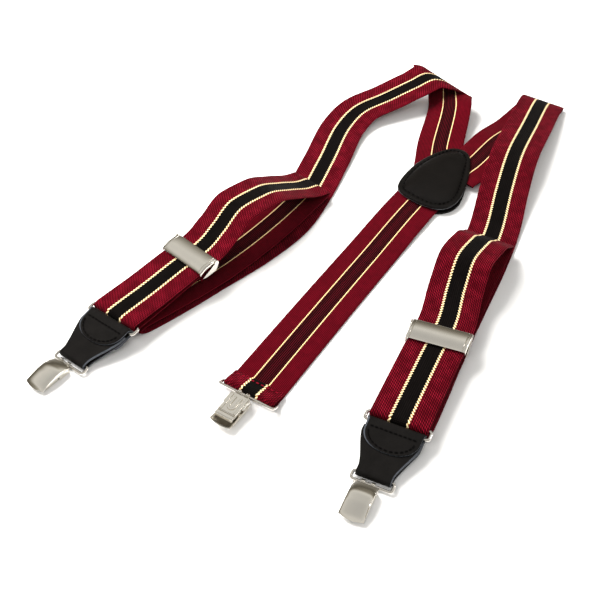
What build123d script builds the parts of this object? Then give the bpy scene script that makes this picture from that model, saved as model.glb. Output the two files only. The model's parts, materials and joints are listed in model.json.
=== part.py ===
from build123d import *
import math
import os

# ---------------------------------------------------------------- driving dimensions (mm)
STRAP_WIDTH = 35.0
STRAP_THICK = 1.5
WIRE_R = 0.9                # clip bails
RING_WIRE_R = 1.0           # rings between strap and leather tab
TURN_GAP = 0.35             # air between a wire and the strap or leather round it

LEATHER_THICK = 1.3
TAB_LENGTH = 32.0           # ring bar to bail bar
TAB_TOP_WIDTH = 35.0
TAB_BOTTOM_WIDTH = 20.8
RING_SPACING = 5.8          # between the two bars of a ring
RING_INNER_WIDTH = 36.4
BAIL_SPACING = 5.2          # between the two bars of a bail
TAB_BAIL_INNER = 22.2
BACK_BAIL_INNER = 36.4

CLIP_WIDTH = 12.0
CLIP_SHEET = 0.8
CLIP_LENGTH = 20.4          # bail bar to the lip of the lower jaw
COVER_REACH = 25.4          # bail bar to the tip of the cover
COVER_TIP_WIDTH = 13.2
PIN_R = 0.75
PIN_Y, PIN_Z = 6.0, 1.7     # clip pin, from the bail bar
PIN_CLEARANCE = 0.08
EAR_THICK = 0.8
KNUCKLE_R = 1.8
KNUCKLE_WIDTH = 9.0

PLATE_LENGTH = 15.0         # adjuster, along the strap
PLATE_WIDTH = 37.0
PLATE_SHEET = 0.7
ADJUSTER_PIN_Y = 6.5
ADJUSTER_PIN_Z = 1.9
ADJUSTER_PIN_R = 0.7

PATCH_THICK = 1.4
PATCH_LIFT = 5.3            # underside of the upper patch, above the sewn strap ends
STITCH = (1.8, 0.75, 0.35)   # length, width, height of one stitch

# The layout is measured from the middle of the floor; this moves it over its own bounding box.
LAYOUT_CENTRE = (26.2, 45.5)

# ---------------------------------------------------------------- how the braces are laid out
# Route points: x, y, z of the webbing's middle, the angle of its width seen from above, its roll.
LEFT_RING = (-114.0, -24.5, 10.4)
RIGHT_RING = (56.0, -105.5, 8.0)
LEFT_TAB_TURN, RIGHT_TAB_TURN = -37.5, -25.0

LEFT_ROUTE = [
    (-100, -8, 13.0, -43, 0),
    (-81, 13, 15.7, -44, 0),
    (-62, 34, 18.5, -44, 0),
    (-54, 46, 22.0, -43, 0),
    (-42, 61, 30.0, -44, 0),
    (-26, 78, 28.0, -45, 0),
    (-11, 94, 19.0, -45, 0),
    (2, 108, 9.6, -45, 0),
    (9, 115, 6.6, -45, 0),
    (3, 107, 4.4, -44, 0),
    (-16, 79, 4.4, -42, 0),
    (-40, 48, 4.4, -45, 0),
    (-64, 22, 4.4, -49, 0),
    (-88, 1, 4.2, -49, 0),
    (-107, -15, 4.0, -49, 0),
    (-111, -19, 2.4, -47, 0),
    (-106, -16, 0.8, -46, 0),
    (-84, 2, 0.8, -46, 0),
    (-59, 25, 0.8, -46, 0),
    (-34, 48, 0.8, -45, 0),
    (-9, 78, 0.8, -35, 0),
    (6, 110, 1.0, -22, 0),
    (20, 149, 2.0, -19, 0),
    (34, 190, 4.0, -23, 0),
    (48, 210, 7.0, -40, 0),
    (70, 223, 10.0, -57, 0),
    (92, 234, 15.0, -56, 0),
    (107, 241, 18.0, -53, -2),
    (117, 240, 15.5, -47, -6),
    (121.5, 233, 11.5, -38, 2),
    (120.5, 217, 8.8, -27, 14),
    (108, 167, 2.25, -16, 0),
    (103, 140, 2.3, -13, 0),
    (100, 126, 2.3, -11, 0),
]
RIGHT_ROUTE = [
    (64, -88, 10.2, -20, 0),
    (77, -60, 10.9, -21, 0),
    (91, -30, 11.8, -22, 0),
    (99, -4, 15.0, -24, 0),
    (107, 16, 22.5, -28, 0),
    (119, 35, 20.0, -30, 0),
    (126, 47, 11.5, -30, 0),
    (129, 52, 7.4, -30, 0),
    (125, 45, 4.4, -28, 0),
    (106, 5, 4.2, -24, 0),
    (88, -38, 4.0, -24, 0),
    (68, -81, 4.0, -24, 0),
    (58, -103, 4.0, -23, 0),
    (55, -108, 2.4, -23, 0),
    (59, -101, 0.8, -23, 0),
    (71, -75, 0.8, -24, 0),
    (87, -38, 0.8, -24, 0),
    (105, 0, 0.8, -24, 0),
    (122, 36, 0.8, -23, 0),
    (136, 70, 2.0, -21, 0),
    (147, 105, 7.5, -20, 0),
    (160, 142, 12.0, -22, 0),
    (179, 185, 9.0, -26, 0),
    (197, 225, 4.4, -32, -2),
    (199, 228, 2.6, -35, 0),
    (194, 221, 0.9, -38, 0),
    (174, 196, 0.8, -40, 0),
    (150, 168, 4.3, -42, 0),
    (129, 140.5, 4.4, -46, 0),
    (114, 125.5, 4.4, -49, 0),
]
BACK_TURN = -32.5
BACK_BAR = (-29.0, -80.6, 2.8)     # bail bar inside the end of the back strap
BACK_FLAP = 10.0                   # length of the hem folded over the bail
BACK_FLAP_Z = (2.75, 3.5)          # middle of the hem at its cut end, and where it leaves the bail
BACK_CLIP_Z = 5.45                 # outer bar of the back bail, which lies propped on its clip
HEM_SEAM = (2.5, 1.4)              # row of thread: in from the cut end, and above the bar
BACK_ROUTE = [
    (-20, -66, 0.8, -32, 0),
    (4, -27, 0.8, -32, 0),
    (44, 37, 0.8, -32, 0),
    (74, 84, 2.2, -32, 0),
    (88, 105, 2.3, -32, 0),
]
LEFT_ADJUSTER = (-72.0, 23.0, 17.0)
RIGHT_ADJUSTER = (84.0, -45.0, 11.5)

# ---------------------------------------------------------------- routes and frames


def placed(x, y, z):
    return Vector(x - LAYOUT_CENTRE[0], y - LAYOUT_CENTRE[1], z)


def knots(route):
    return [(x - LAYOUT_CENTRE[0], y - LAYOUT_CENTRE[1], z, turn, roll) for x, y, z, turn, roll in route]


def slopes(times, values):
    """Slope at each knot: level at a turning point, so the curve never overshoots its knots."""
    steps = [(values[i + 1] - values[i]) / (times[i + 1] - times[i]) for i in range(len(values) - 1)]
    inner = []
    for before, after in zip(steps, steps[1:]):
        inner.append(0.0 if before * after <= 0 else 2 * before * after / (before + after))
    return [steps[0]] + inner + [steps[-1]]


def smooth(route, per_span):
    """Points on a smooth curve through the knots, each (x, y, z, turn, roll), with its tangent."""
    times = [0.0]
    for a, b in zip(route, route[1:]):
        times.append(times[-1] + math.sqrt(math.dist(a[:3], b[:3])))
    grades = [slopes(times, [knot[k] for knot in route]) for k in range(5)]
    points = []
    for i in range(len(route) - 1):
        span = times[i + 1] - times[i]
        last = i == len(route) - 2
        for j in range(per_span + 1 if last else per_span):
            s = j / per_span
            value, slope = [], []
            for k in range(5):
                a, b = route[i][k], route[i + 1][k]
                ma, mb = grades[k][i] * span, grades[k][i + 1] * span
                value.append((2 * s**3 - 3 * s**2 + 1) * a + (s**3 - 2 * s**2 + s) * ma
                             + (3 * s**2 - 2 * s**3) * b + (s**3 - s**2) * mb)
                slope.append((6 * s**2 - 6 * s) * (a - b) + (3 * s**2 - 4 * s + 1) * ma
                             + (3 * s**2 - 2 * s) * mb)
            points.append((value, Vector(*slope[:3]).normalized()))
    return points


def section(value, tangent):
    """Plane across the webbing at one point of its route, and the width of the cut there."""
    turn, roll = math.radians(value[3]), math.radians(value[4])
    across = Vector(math.cos(turn) * math.cos(roll), math.sin(turn) * math.cos(roll), math.sin(roll))
    along = tangent - across * tangent.dot(across)
    width = STRAP_WIDTH / max(along.length, 0.8)
    return Plane(origin=Vector(*value[:3]), x_dir=across, z_dir=along), width


def webbing(route, label, per_span=3):
    with BuildPart() as strap:
        for value, tangent in smooth(route, per_span):
            plane, width = section(value, tangent)
            with BuildSketch(plane):
                Rectangle(width, STRAP_THICK)
        loft(ruled=True)
    save(strap.part, label)


def direction(turn):
    """Level direction, 90 degrees clockwise from the width at this turn: outwards along a strap end."""
    angle = math.radians(turn - 90)
    return Vector(math.cos(angle), math.sin(angle), 0)


def across(turn):
    return Vector(math.cos(math.radians(turn)), math.sin(math.radians(turn)), 0)


def frame_at(origin, turn, outwards):
    """Local frame: x across the strap, y outwards, z up out of the face."""
    x_dir = across(turn)
    return Plane(origin=origin, x_dir=-x_dir, z_dir=-x_dir.cross(outwards.normalized()))


def at(frame, x=0.0, y=0.0, z=0.0):
    return Plane(origin=frame.from_local_coords(Vector(x, y, z)), x_dir=frame.x_dir, z_dir=frame.z_dir)


def side_on(frame, x=0.0):
    """Sketch plane seen along the local x: sketch u is local y, sketch v is local z."""
    return Plane(origin=frame.from_local_coords(Vector(x, 0, 0)), x_dir=frame.y_dir, z_dir=frame.x_dir)


def ring_turn(bar, turn, wire_r, back_length):
    """Route round a wire: in under it, round its outer side and out over it."""
    radius = wire_r + TURN_GAP + STRAP_THICK / 2
    out = direction(turn)
    below = bar - out * back_length
    points = [(below.X, below.Y, bar.Z - radius, turn, 0)]
    for angle in (-90, -45, 0, 45, 90):
        spot = bar + out * radius * math.cos(math.radians(angle))
        points.append((spot.X, spot.Y, bar.Z + radius * math.sin(math.radians(angle)), turn, 0))
    return points


def save(part, label):
    part.label = label
    export_step(part, f"parts/{label}.step")


# ---------------------------------------------------------------- wire goods


def wire_loop(frame, inner_width, spacing, wire_r, label):
    """Rounded rectangle of wire: one bar on the frame's x axis, the other at y = spacing."""
    half = inner_width / 2 + wire_r
    with BuildPart() as loop:
        with BuildLine(frame) as path:
            FilletPolyline(
                (-half, 0), (-half, spacing), (half, spacing), (half, 0), radius=1.6, close=True
            )
        with BuildSketch(Plane(origin=path.line @ 0, z_dir=path.line % 0)):
            Circle(wire_r)
        sweep(path=path.line)
    save(loop.part, label)


# ---------------------------------------------------------------- leather tab


def leather_tab(frame, label):
    """Leather strip round the ring bar at y = 0 and the bail bar at y = TAB_LENGTH."""
    top_hole = RING_WIRE_R + TURN_GAP
    low_hole = WIRE_R + TURN_GAP
    with BuildPart() as tab:
        with BuildSketch(side_on(frame)):
            Circle(top_hole + LEATHER_THICK)
            with Locations((TAB_LENGTH, 0)):
                Circle(low_hole + LEATHER_THICK)
            make_hull()
            Circle(top_hole, mode=Mode.SUBTRACT)
            with Locations((TAB_LENGTH, 0)):
                Circle(low_hole, mode=Mode.SUBTRACT)
        extrude(amount=TAB_TOP_WIDTH / 2, both=True)
        with BuildSketch(frame):
            with BuildLine():
                top, low = TAB_TOP_WIDTH / 2, TAB_BOTTOM_WIDTH / 2
                Polyline((-top, -4), (top, -4), (top, 8))
                Spline((top, 8), (14.3, 19), (low, TAB_LENGTH - 3), tangents=((0, 1), (-0.2, 1)))
                Polyline((low, TAB_LENGTH - 3), (low, TAB_LENGTH + 4), (-low, TAB_LENGTH + 4),
                         (-low, TAB_LENGTH - 3))
                Spline((-low, TAB_LENGTH - 3), (-14.3, 19), (-top, 8), tangents=((-0.2, -1), (0, -1)))
                Line((-top, 8), (-top, -4))
            make_face()
        extrude(amount=6, both=True, mode=Mode.INTERSECT)
    save(tab.part, label)


def tab_stitches(frame, label):
    """Thread on the D-shaped flap: a straight row at the top and a curved row below it."""
    top = RING_WIRE_R + TURN_GAP + LEATHER_THICK
    drop = (RING_WIRE_R - WIRE_R) / TAB_LENGTH
    pitch = 2.8
    row = [(pitch * (i - 4.5), 4.2, 0.0) for i in range(10)]
    bow = []
    for i in range(13):
        angle = math.radians(12 + 13 * i)
        bow.append((13.6 * math.cos(angle), 6.0 + 10.0 * math.sin(angle), angle))
    with BuildPart() as thread:
        for x, y, _ in row:
            with BuildSketch(at(frame, z=top + 0.05)):
                with Locations((x, y)):
                    Rectangle(STITCH[0], STITCH[1])
            extrude(amount=STITCH[2])
        for x, y, angle in bow:
            lean = math.degrees(math.atan2(10.0 * math.cos(angle), -13.6 * math.sin(angle)))
            with BuildSketch(at(frame, z=top + 0.05 - drop * y)):
                with Locations(Location((x, y), lean)):
                    Rectangle(STITCH[0], STITCH[1])
            extrude(amount=STITCH[2])
    save(thread.part, label)


# ---------------------------------------------------------------- clip


def clip_body(frame, label):
    """Lower jaw: sheet plate with a rolled knuckle, two ears for the pin and an upturned lip."""
    floor = -KNUCKLE_R
    ear_x = CLIP_WIDTH / 2
    with BuildPart() as body:
        with BuildSketch(at(frame, z=floor)):
            with Locations((0, CLIP_LENGTH / 2)):
                Rectangle(CLIP_WIDTH, CLIP_LENGTH)
        extrude(amount=CLIP_SHEET)
        with BuildSketch(side_on(frame)):
            with Locations((CLIP_LENGTH - CLIP_SHEET / 2, floor + 1.2)):
                Rectangle(CLIP_SHEET, 2.4)
        extrude(amount=CLIP_WIDTH / 2, both=True)
        with BuildSketch(side_on(frame)):
            Circle(KNUCKLE_R)
        extrude(amount=KNUCKLE_WIDTH / 2, both=True)
        for side in (-1, 1):
            with BuildSketch(side_on(frame, side * (ear_x + EAR_THICK / 2))):
                with BuildLine():
                    Polyline((2.6, floor), (2.6, floor + CLIP_SHEET), (PIN_Y - 1.9, PIN_Z))
                    ThreePointArc((PIN_Y - 1.9, PIN_Z), (PIN_Y, PIN_Z + 1.9), (PIN_Y + 1.9, PIN_Z))
                    Polyline((PIN_Y + 1.9, PIN_Z), (10.4, floor + CLIP_SHEET), (10.4, floor), (2.6, floor))
                make_face()
            extrude(amount=EAR_THICK / 2, both=True)
            with BuildSketch(at(frame, z=floor)):
                with Locations((side * (ear_x - 0.2), 6.5)):
                    Rectangle(2.0, 7.8)
            extrude(amount=CLIP_SHEET)
        with BuildSketch(side_on(frame)):
            Circle(WIRE_R + PIN_CLEARANCE)
        extrude(amount=CLIP_WIDTH, both=True, mode=Mode.SUBTRACT)
        with BuildSketch(side_on(frame)):
            with Locations((PIN_Y, PIN_Z)):
                Circle(PIN_R)
        extrude(amount=CLIP_WIDTH, both=True, mode=Mode.SUBTRACT)
        # pressed tongue: a U-shaped slot through the plate
        with BuildSketch(at(frame, z=floor - 1)):
            with Locations((0, 10.4)):
                SlotOverall(9.6, 5.4, rotation=90)
                SlotOverall(8.2, 3.6, rotation=90, mode=Mode.SUBTRACT)
            with Locations((0, 4.4)):
                Rectangle(6.0, 5.0, mode=Mode.SUBTRACT)
        extrude(amount=3, mode=Mode.SUBTRACT)
    save(body.part, label)


def clip_pin(frame, label):
    """Riveted pin through both ears."""
    reach = CLIP_WIDTH / 2 + EAR_THICK
    with BuildPart() as pin:
        with BuildSketch(side_on(frame)):
            with Locations((PIN_Y, PIN_Z)):
                Circle(PIN_R)
        extrude(amount=reach + 0.05, both=True)
        for side in (-1, 1):
            with BuildSketch(side_on(frame, side * (reach + 0.25))):
                with Locations((PIN_Y, PIN_Z)):
                    Circle(1.15)
            extrude(amount=0.2, both=True)
    save(pin.part, label)


def clip_cover(frame, label):
    """Upper jaw: a bowed cover with turned-down sides that pivots on the pin."""
    inside = CLIP_WIDTH / 2 - 0.2
    tip = COVER_TIP_WIDTH / 2
    with BuildPart() as cover:
        with BuildSketch(side_on(frame)):
            with BuildLine():
                Spline((3.4, 3.0), (10.0, 4.9), (COVER_REACH, 0.2), tangents=((1, 0.55), (0.75, -1)))
                Line((COVER_REACH, 0.2), (COVER_REACH - 0.9, -0.2))
                Polyline((COVER_REACH - 0.9, -0.2), (COVER_REACH - 3.4, 1.2), (9.4, 0.6), (PIN_Y, 0.2),
                         (4.4, 1.4), (3.4, 3.0))
            make_face()
        extrude(amount=tip, both=True)
        # hollow it from below, leaving the top skin and the two side flanges
        with BuildSketch(side_on(frame)):
            with BuildLine():
                Spline((4.6, 2.7), (10.0, 4.1), (COVER_REACH - 1.4, 0.3),
                       tangents=((1, 0.45), (0.75, -1)))
                Polyline((COVER_REACH - 1.4, 0.3), (COVER_REACH - 1.4, -2), (2, -2), (2, 1.2), (4.6, 2.7))
            make_face()
        extrude(amount=inside - CLIP_SHEET, both=True, mode=Mode.SUBTRACT)
        # plan shape: narrow between the ears, wider past them, bowed tip
        with BuildSketch(frame):
            with BuildLine():
                Polyline((-inside, 2), (inside, 2), (inside, 10.8), (tip, 12.0), (tip, COVER_REACH - 2.2))
                ThreePointArc((tip, COVER_REACH - 2.2), (0, COVER_REACH), (-tip, COVER_REACH - 2.2))
                Polyline((-tip, COVER_REACH - 2.2), (-tip, 12.0), (-inside, 10.8), (-inside, 2))
            make_face()
        extrude(amount=8, both=True, mode=Mode.INTERSECT)
        # barrel round the pin
        with BuildSketch(side_on(frame)):
            with Locations((PIN_Y, PIN_Z)):
                Circle(PIN_R + PIN_CLEARANCE + 0.7)
        extrude(amount=inside, both=True)
        with BuildSketch(side_on(frame)):
            with Locations((PIN_Y, PIN_Z)):
                Circle(PIN_R + PIN_CLEARANCE)
        extrude(amount=CLIP_WIDTH, both=True, mode=Mode.SUBTRACT)
    save(cover.part, label)


def grip_pad(frame, label):
    """Toothed pad under the cover that holds the cloth against the lower jaw."""
    with BuildPart() as pad:
        with BuildSketch(side_on(frame)):
            with BuildLine():
                Polyline((13.6, 3.25), (13.6, -0.3), (14.4, -0.7), (15.2, -0.3), (16.0, -0.7),
                         (16.8, -0.3), (17.4, -0.6), (17.4, 2.25), (13.6, 3.25))
            make_face()
        extrude(amount=CLIP_WIDTH / 2 - 1.4, both=True)
    save(pad.part, label)


# ---------------------------------------------------------------- adjuster


def adjuster_frame(frame, label):
    """Two ears joined by a flat rear bar, which the sewn end of the strap goes round."""
    ear_x = PLATE_WIDTH / 2 + 0.2
    bar_top = -3.05
    with BuildPart() as body:
        with BuildSketch(at(frame, z=bar_top - 0.8)):
            Rectangle(2 * ear_x + 2 * PLATE_SHEET, 4.0)
        extrude(amount=0.8)
        for side in (-1, 1):
            with BuildSketch(side_on(frame, side * (ear_x + PLATE_SHEET / 2))):
                with BuildLine():
                    Polyline((-6.6, -2.9), (-3.0, -3.85), (5.0, -3.85), (ADJUSTER_PIN_Y + 1.6, 0.6),
                             (ADJUSTER_PIN_Y + 1.6, ADJUSTER_PIN_Z))
                    ThreePointArc((ADJUSTER_PIN_Y + 1.6, ADJUSTER_PIN_Z),
                                  (ADJUSTER_PIN_Y, ADJUSTER_PIN_Z + 1.6),
                                  (ADJUSTER_PIN_Y - 1.6, ADJUSTER_PIN_Z))
                    Line((ADJUSTER_PIN_Y - 1.6, ADJUSTER_PIN_Z), (-6.6, -2.9))
                make_face()
            extrude(amount=PLATE_SHEET / 2, both=True)
        with BuildSketch(side_on(frame)):
            with Locations((ADJUSTER_PIN_Y, ADJUSTER_PIN_Z)):
                Circle(ADJUSTER_PIN_R)
        extrude(amount=PLATE_WIDTH, both=True, mode=Mode.SUBTRACT)
    save(body.part, label)


def adjuster_pin(frame, label):
    with BuildPart() as pin:
        with BuildSketch(side_on(frame)):
            with Locations((ADJUSTER_PIN_Y, ADJUSTER_PIN_Z)):
                Circle(ADJUSTER_PIN_R)
        extrude(amount=PLATE_WIDTH / 2 + 0.2 + PLATE_SHEET, both=True)
    save(pin.part, label)


def adjuster_cover(frame, label):
    """Bowed cover plate with turned-down ends; it pivots on the pin and clamps the strap."""
    half = PLATE_LENGTH / 2
    ends = PLATE_WIDTH / 2
    with BuildPart() as cover:
        with BuildSketch(side_on(frame)):
            with BuildLine():
                ThreePointArc((-half, 1.5), (0.5, 4.3), (half, 3.4))
                Line((half, 3.4), (half, 2.75))
                ThreePointArc((half, 2.75), (0.5, 3.6), (-half + 0.5, 1.1))
                Line((-half + 0.5, 1.1), (-half, 1.5))
            make_face()
        extrude(amount=ends, both=True)
        for side in (-1, 1):
            with BuildSketch(side_on(frame, side * (ends - PLATE_SHEET / 2))):
                with BuildLine():
                    ThreePointArc((-half, 1.5), (0.5, 4.3), (half, 3.4))
                    Polyline((half, 3.4), (half, 1.4), (ADJUSTER_PIN_Y, 0.7), (0, 1.0), (-half, 1.5))
                make_face()
            extrude(amount=PLATE_SHEET / 2, both=True)
        with BuildSketch(side_on(frame)):
            with BuildLine():
                Polyline((3.0, 3.8), (3.2, 1.3), (3.8, 1.5), (4.2, 3.7), (3.0, 3.8))
            make_face()
        extrude(amount=STRAP_WIDTH / 2 - 0.5, both=True)
        with BuildSketch(side_on(frame)):
            with Locations((ADJUSTER_PIN_Y, ADJUSTER_PIN_Z)):
                Circle(ADJUSTER_PIN_R + PIN_CLEARANCE)
        extrude(amount=PLATE_WIDTH, both=True, mode=Mode.SUBTRACT)
    save(cover.part, label)


# ---------------------------------------------------------------- yoke

YOKE_OUTLINE = [(71, 112), (82, 134), (98, 150), (116, 159), (127, 152), (126, 132), (118, 105),
                (108, 90), (96, 87), (80, 97)]


def yoke_patch(height, label):
    with BuildPart() as patch:
        with BuildSketch(Plane.XY.offset(height)):
            with BuildLine():
                Spline([tuple(placed(x, y, 0))[:2] for x, y in YOKE_OUTLINE], periodic=True)
            make_face()
        extrude(amount=PATCH_THICK)
    save(patch.part, label)


def yoke_stitches(height, label):
    """Thread running round the patch, inside its edge."""
    with BuildPart() as thread:
        with BuildLine(mode=Mode.PRIVATE) as edge:
            Spline([tuple(placed(x, y, 0))[:2] for x, y in YOKE_OUTLINE], periodic=True)
        count = 48
        for i in range(count):
            spot = edge.line @ (i / count)
            heading = edge.line % (i / count)
            inwards = Vector(-heading.Y, heading.X, 0)
            middle = placed(100, 122, 0)
            if inwards.dot(middle - spot) < 0:
                inwards = inwards * -1
            seat = spot + inwards * 4.0
            lean = math.degrees(math.atan2(heading.Y, heading.X))
            with BuildSketch(Plane.XY.offset(height)):
                with Locations(Location((seat.X, seat.Y), lean)):
                    Rectangle(STITCH[0], STITCH[1])
            extrude(amount=STITCH[2])
    save(thread.part, label)


# ---------------------------------------------------------------- assembly


def make_clip(frame, side):
    clip_body(frame, f"{side}_clip_body")
    clip_pin(frame, f"{side}_clip_pin")
    clip_cover(frame, f"{side}_clip_cover")
    grip_pad(frame, f"{side}_grip_pad")


def tilted(turn, drop, run):
    """Outward direction that falls by drop over a level run."""
    return direction(turn) * run + Vector(0, 0, -drop)


def front_end(side, ring, turn, slide_off):
    """Ring, leather tab, bail and clip at the lower end of one front strap."""
    top_bar = placed(*ring)
    ring_out = tilted(turn, 0.6, RING_SPACING)
    low_bar = top_bar + ring_out.normalized() * RING_SPACING
    bail_z = WIRE_R + TURN_GAP + LEATHER_THICK + 0.35
    tab_out = tilted(turn, low_bar.Z - bail_z, TAB_LENGTH)
    bail_bar = low_bar + tab_out.normalized() * TAB_LENGTH
    clip_z = KNUCKLE_R + 0.1
    bail_out = tilted(turn, bail_bar.Z - clip_z, BAIL_SPACING)
    clip_bar = bail_bar + bail_out.normalized() * BAIL_SPACING
    wire_loop(frame_at(top_bar, turn, ring_out), RING_INNER_WIDTH, RING_SPACING, RING_WIRE_R, f"{side}_ring")
    tab_frame = frame_at(low_bar, turn, tab_out)
    leather_tab(tab_frame, f"{side}_leather_tab")
    tab_stitches(tab_frame, f"{side}_tab_stitches")
    wire_loop(frame_at(bail_bar, turn, bail_out), TAB_BAIL_INNER, BAIL_SPACING, WIRE_R, f"{side}_bail")
    make_clip(frame_at(clip_bar + across(turn) * slide_off, turn, direction(turn)), side)


def adjuster(side, spot, turn, start, end):
    """Adjuster on the straight stretch of strap from start to end, two route points."""
    run = (placed(*end[:3]) - placed(*start[:3])).normalized()
    x_dir = across(turn)
    frame = Plane(origin=placed(*spot), x_dir=x_dir, z_dir=x_dir.cross(run))
    adjuster_frame(frame, f"{side}_adjuster_frame")
    adjuster_pin(frame, f"{side}_adjuster_pin")
    adjuster_cover(frame, f"{side}_adjuster_cover")
    return frame


def tail(side, frame, ring, turn):
    """Sewn tail of the strap: from near the ring up to the adjuster, round its bar and back."""
    bar = placed(*ring)
    start = bar - direction(turn) * 14.0
    lean = math.degrees(math.atan2(frame.x_dir.Y, frame.x_dir.X))
    drop = RING_WIRE_R + TURN_GAP + STRAP_THICK / 2
    stops = [(0, -18, -2.4), (0, -9, -1.95), (0, 2.4, -1.95), (0, 3.9, -3.45), (0, 2.4, -4.95),
             (0, -7, -4.95)]
    route = [(start.X, start.Y, bar.Z - drop, turn, 0)]
    for stop in stops:
        spot = frame.from_local_coords(Vector(*stop))
        route.append((spot.X, spot.Y, spot.Z, lean, 0))
    webbing(route, f"{side}_strap_tail")


def back_end():
    """Hem of the back strap, its bail, and a clip that lies with its cover down."""
    bar = placed(*BACK_BAR)
    bail_out = tilted(BACK_TURN, bar.Z - BACK_CLIP_Z, BAIL_SPACING)
    clip_bar = bar + bail_out.normalized() * BAIL_SPACING
    wire_loop(frame_at(bar, BACK_TURN, bail_out), BACK_BAIL_INNER, BAIL_SPACING, WIRE_R, "back_bail")
    x_dir = across(BACK_TURN)
    make_clip(Plane(origin=clip_bar - x_dir * 1.4, x_dir=x_dir, z_dir=(0, 0, -1)), "back")
    out = direction(BACK_TURN)
    tip, neck = bar - out * BACK_FLAP, bar - out * 6
    half_turn = ring_turn(bar, BACK_TURN, WIRE_R, 0)[1:]
    loop = [(tip.X, tip.Y, BACK_FLAP_Z[0], BACK_TURN, 0), (neck.X, neck.Y, BACK_FLAP_Z[1], BACK_TURN, 0)]
    webbing(loop + half_turn[::-1] + knots(BACK_ROUTE), "back_strap")
    hem_stitches(frame_at(tip, BACK_TURN, direction(BACK_TURN)))


def hem_stitches(frame):
    """Row of thread across the hem of the back strap."""
    inset, height = HEM_SEAM
    with BuildPart() as thread:
        with BuildSketch(at(frame, y=inset, z=height)):
            with GridLocations(3.4, 1, 9, 1):
                Rectangle(STITCH[0], STITCH[1])
        extrude(amount=STITCH[2])
    save(thread.part, "back_hem_stitches")


os.makedirs("parts", exist_ok=True)
for side, ring, turn, route, spot, slide_off in (
    ("left", LEFT_RING, LEFT_TAB_TURN, LEFT_ROUTE, LEFT_ADJUSTER, -3.0),
    ("right", RIGHT_RING, RIGHT_TAB_TURN, RIGHT_ROUTE, RIGHT_ADJUSTER, -1.6),
):
    loop = ring_turn(placed(*ring), turn, RING_WIRE_R, 6.0)
    webbing(loop + knots(route), f"{side}_front_strap")
    front_end(side, ring, turn, slide_off)
    frame = adjuster(side, spot, (route[0][3] + route[2][3]) / 2, route[0], route[2])
    tail(side, frame, ring, turn)
back_end()
yoke_patch(0.0, "yoke_outer_patch")
yoke_patch(PATCH_LIFT, "yoke_inner_patch")
yoke_stitches(PATCH_LIFT + PATCH_THICK + 0.05, "yoke_stitches")
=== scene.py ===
"""Clip-on braces laid out flat: webbing, leather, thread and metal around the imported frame."""
import json
import math

import bpy
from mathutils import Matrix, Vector


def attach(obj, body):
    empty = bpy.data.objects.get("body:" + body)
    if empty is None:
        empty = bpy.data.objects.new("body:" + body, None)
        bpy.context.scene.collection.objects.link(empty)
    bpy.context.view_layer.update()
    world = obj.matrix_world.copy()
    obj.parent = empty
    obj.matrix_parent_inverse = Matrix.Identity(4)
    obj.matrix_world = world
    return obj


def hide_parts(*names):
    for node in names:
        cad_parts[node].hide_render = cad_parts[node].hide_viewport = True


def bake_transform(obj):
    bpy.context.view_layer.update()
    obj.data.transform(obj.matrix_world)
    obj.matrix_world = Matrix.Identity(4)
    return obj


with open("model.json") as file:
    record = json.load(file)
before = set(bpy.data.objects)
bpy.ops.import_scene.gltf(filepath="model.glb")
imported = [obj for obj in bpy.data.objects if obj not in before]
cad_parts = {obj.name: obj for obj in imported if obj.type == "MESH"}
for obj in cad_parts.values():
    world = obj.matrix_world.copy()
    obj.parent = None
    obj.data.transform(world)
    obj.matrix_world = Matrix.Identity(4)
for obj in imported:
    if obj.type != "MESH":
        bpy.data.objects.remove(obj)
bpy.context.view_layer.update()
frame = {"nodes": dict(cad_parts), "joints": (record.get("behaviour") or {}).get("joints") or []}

JOINTS = {joint["name"]: joint for joint in frame["joints"]}
MM = 0.001

# ---------------------------------------------------------------- driving dimensions (mm)
STRAP_WIDTH = 35.0
STRAP_THICK = 1.44
STRAP_GAUGE = 1.5           # the thickness that the turns round the wires leave room for
STRAP_STEP = 1.5            # between rows of the webbing's mesh
STRAP_COLUMNS = 44
RING_WIRE_R = 1.0
BAIL_WIRE_R = 0.9
TURN_GAP = 0.35             # between a wire and what is folded round it
LINE_AT = 5.5               # light line, from the middle of the webbing
LINE_HALF = 0.52
BACK_LINE_HALF = 0.33       # the line is thinner on the back
SELVEDGE = 1.1              # breadth of the thinned edge

LEATHER_THICK = 1.25
TAB_LENGTH = 32.0
TAB_TOP_HALF = 17.5         # half its width at the ring, and at the bail
TAB_LOW_HALF = 10.4

PIN_Y, PIN_Z = 6.0, 1.7     # clip pin, from the bail's bar

PATCH_TOP = 6.7             # top of the yoke's upper patch at its rim
PATCH_EDGE = 1.5            # thickness of the patch at its rim
BACK_FLAP = 10.0            # hem folded over the bail
BACK_FLAP_Z = (2.75, 3.5)   # middle of the hem at its cut end, and where it leaves the bail
TAIL_LAP = 6.0              # from the ring to where the sewn tail begins

# ---------------------------------------------------------------- how the braces are laid out
# The layout is measured from the middle of the floor; this moves it over its own bounding box.
LAYOUT_CENTRE = (26.2, 45.5)
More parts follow.
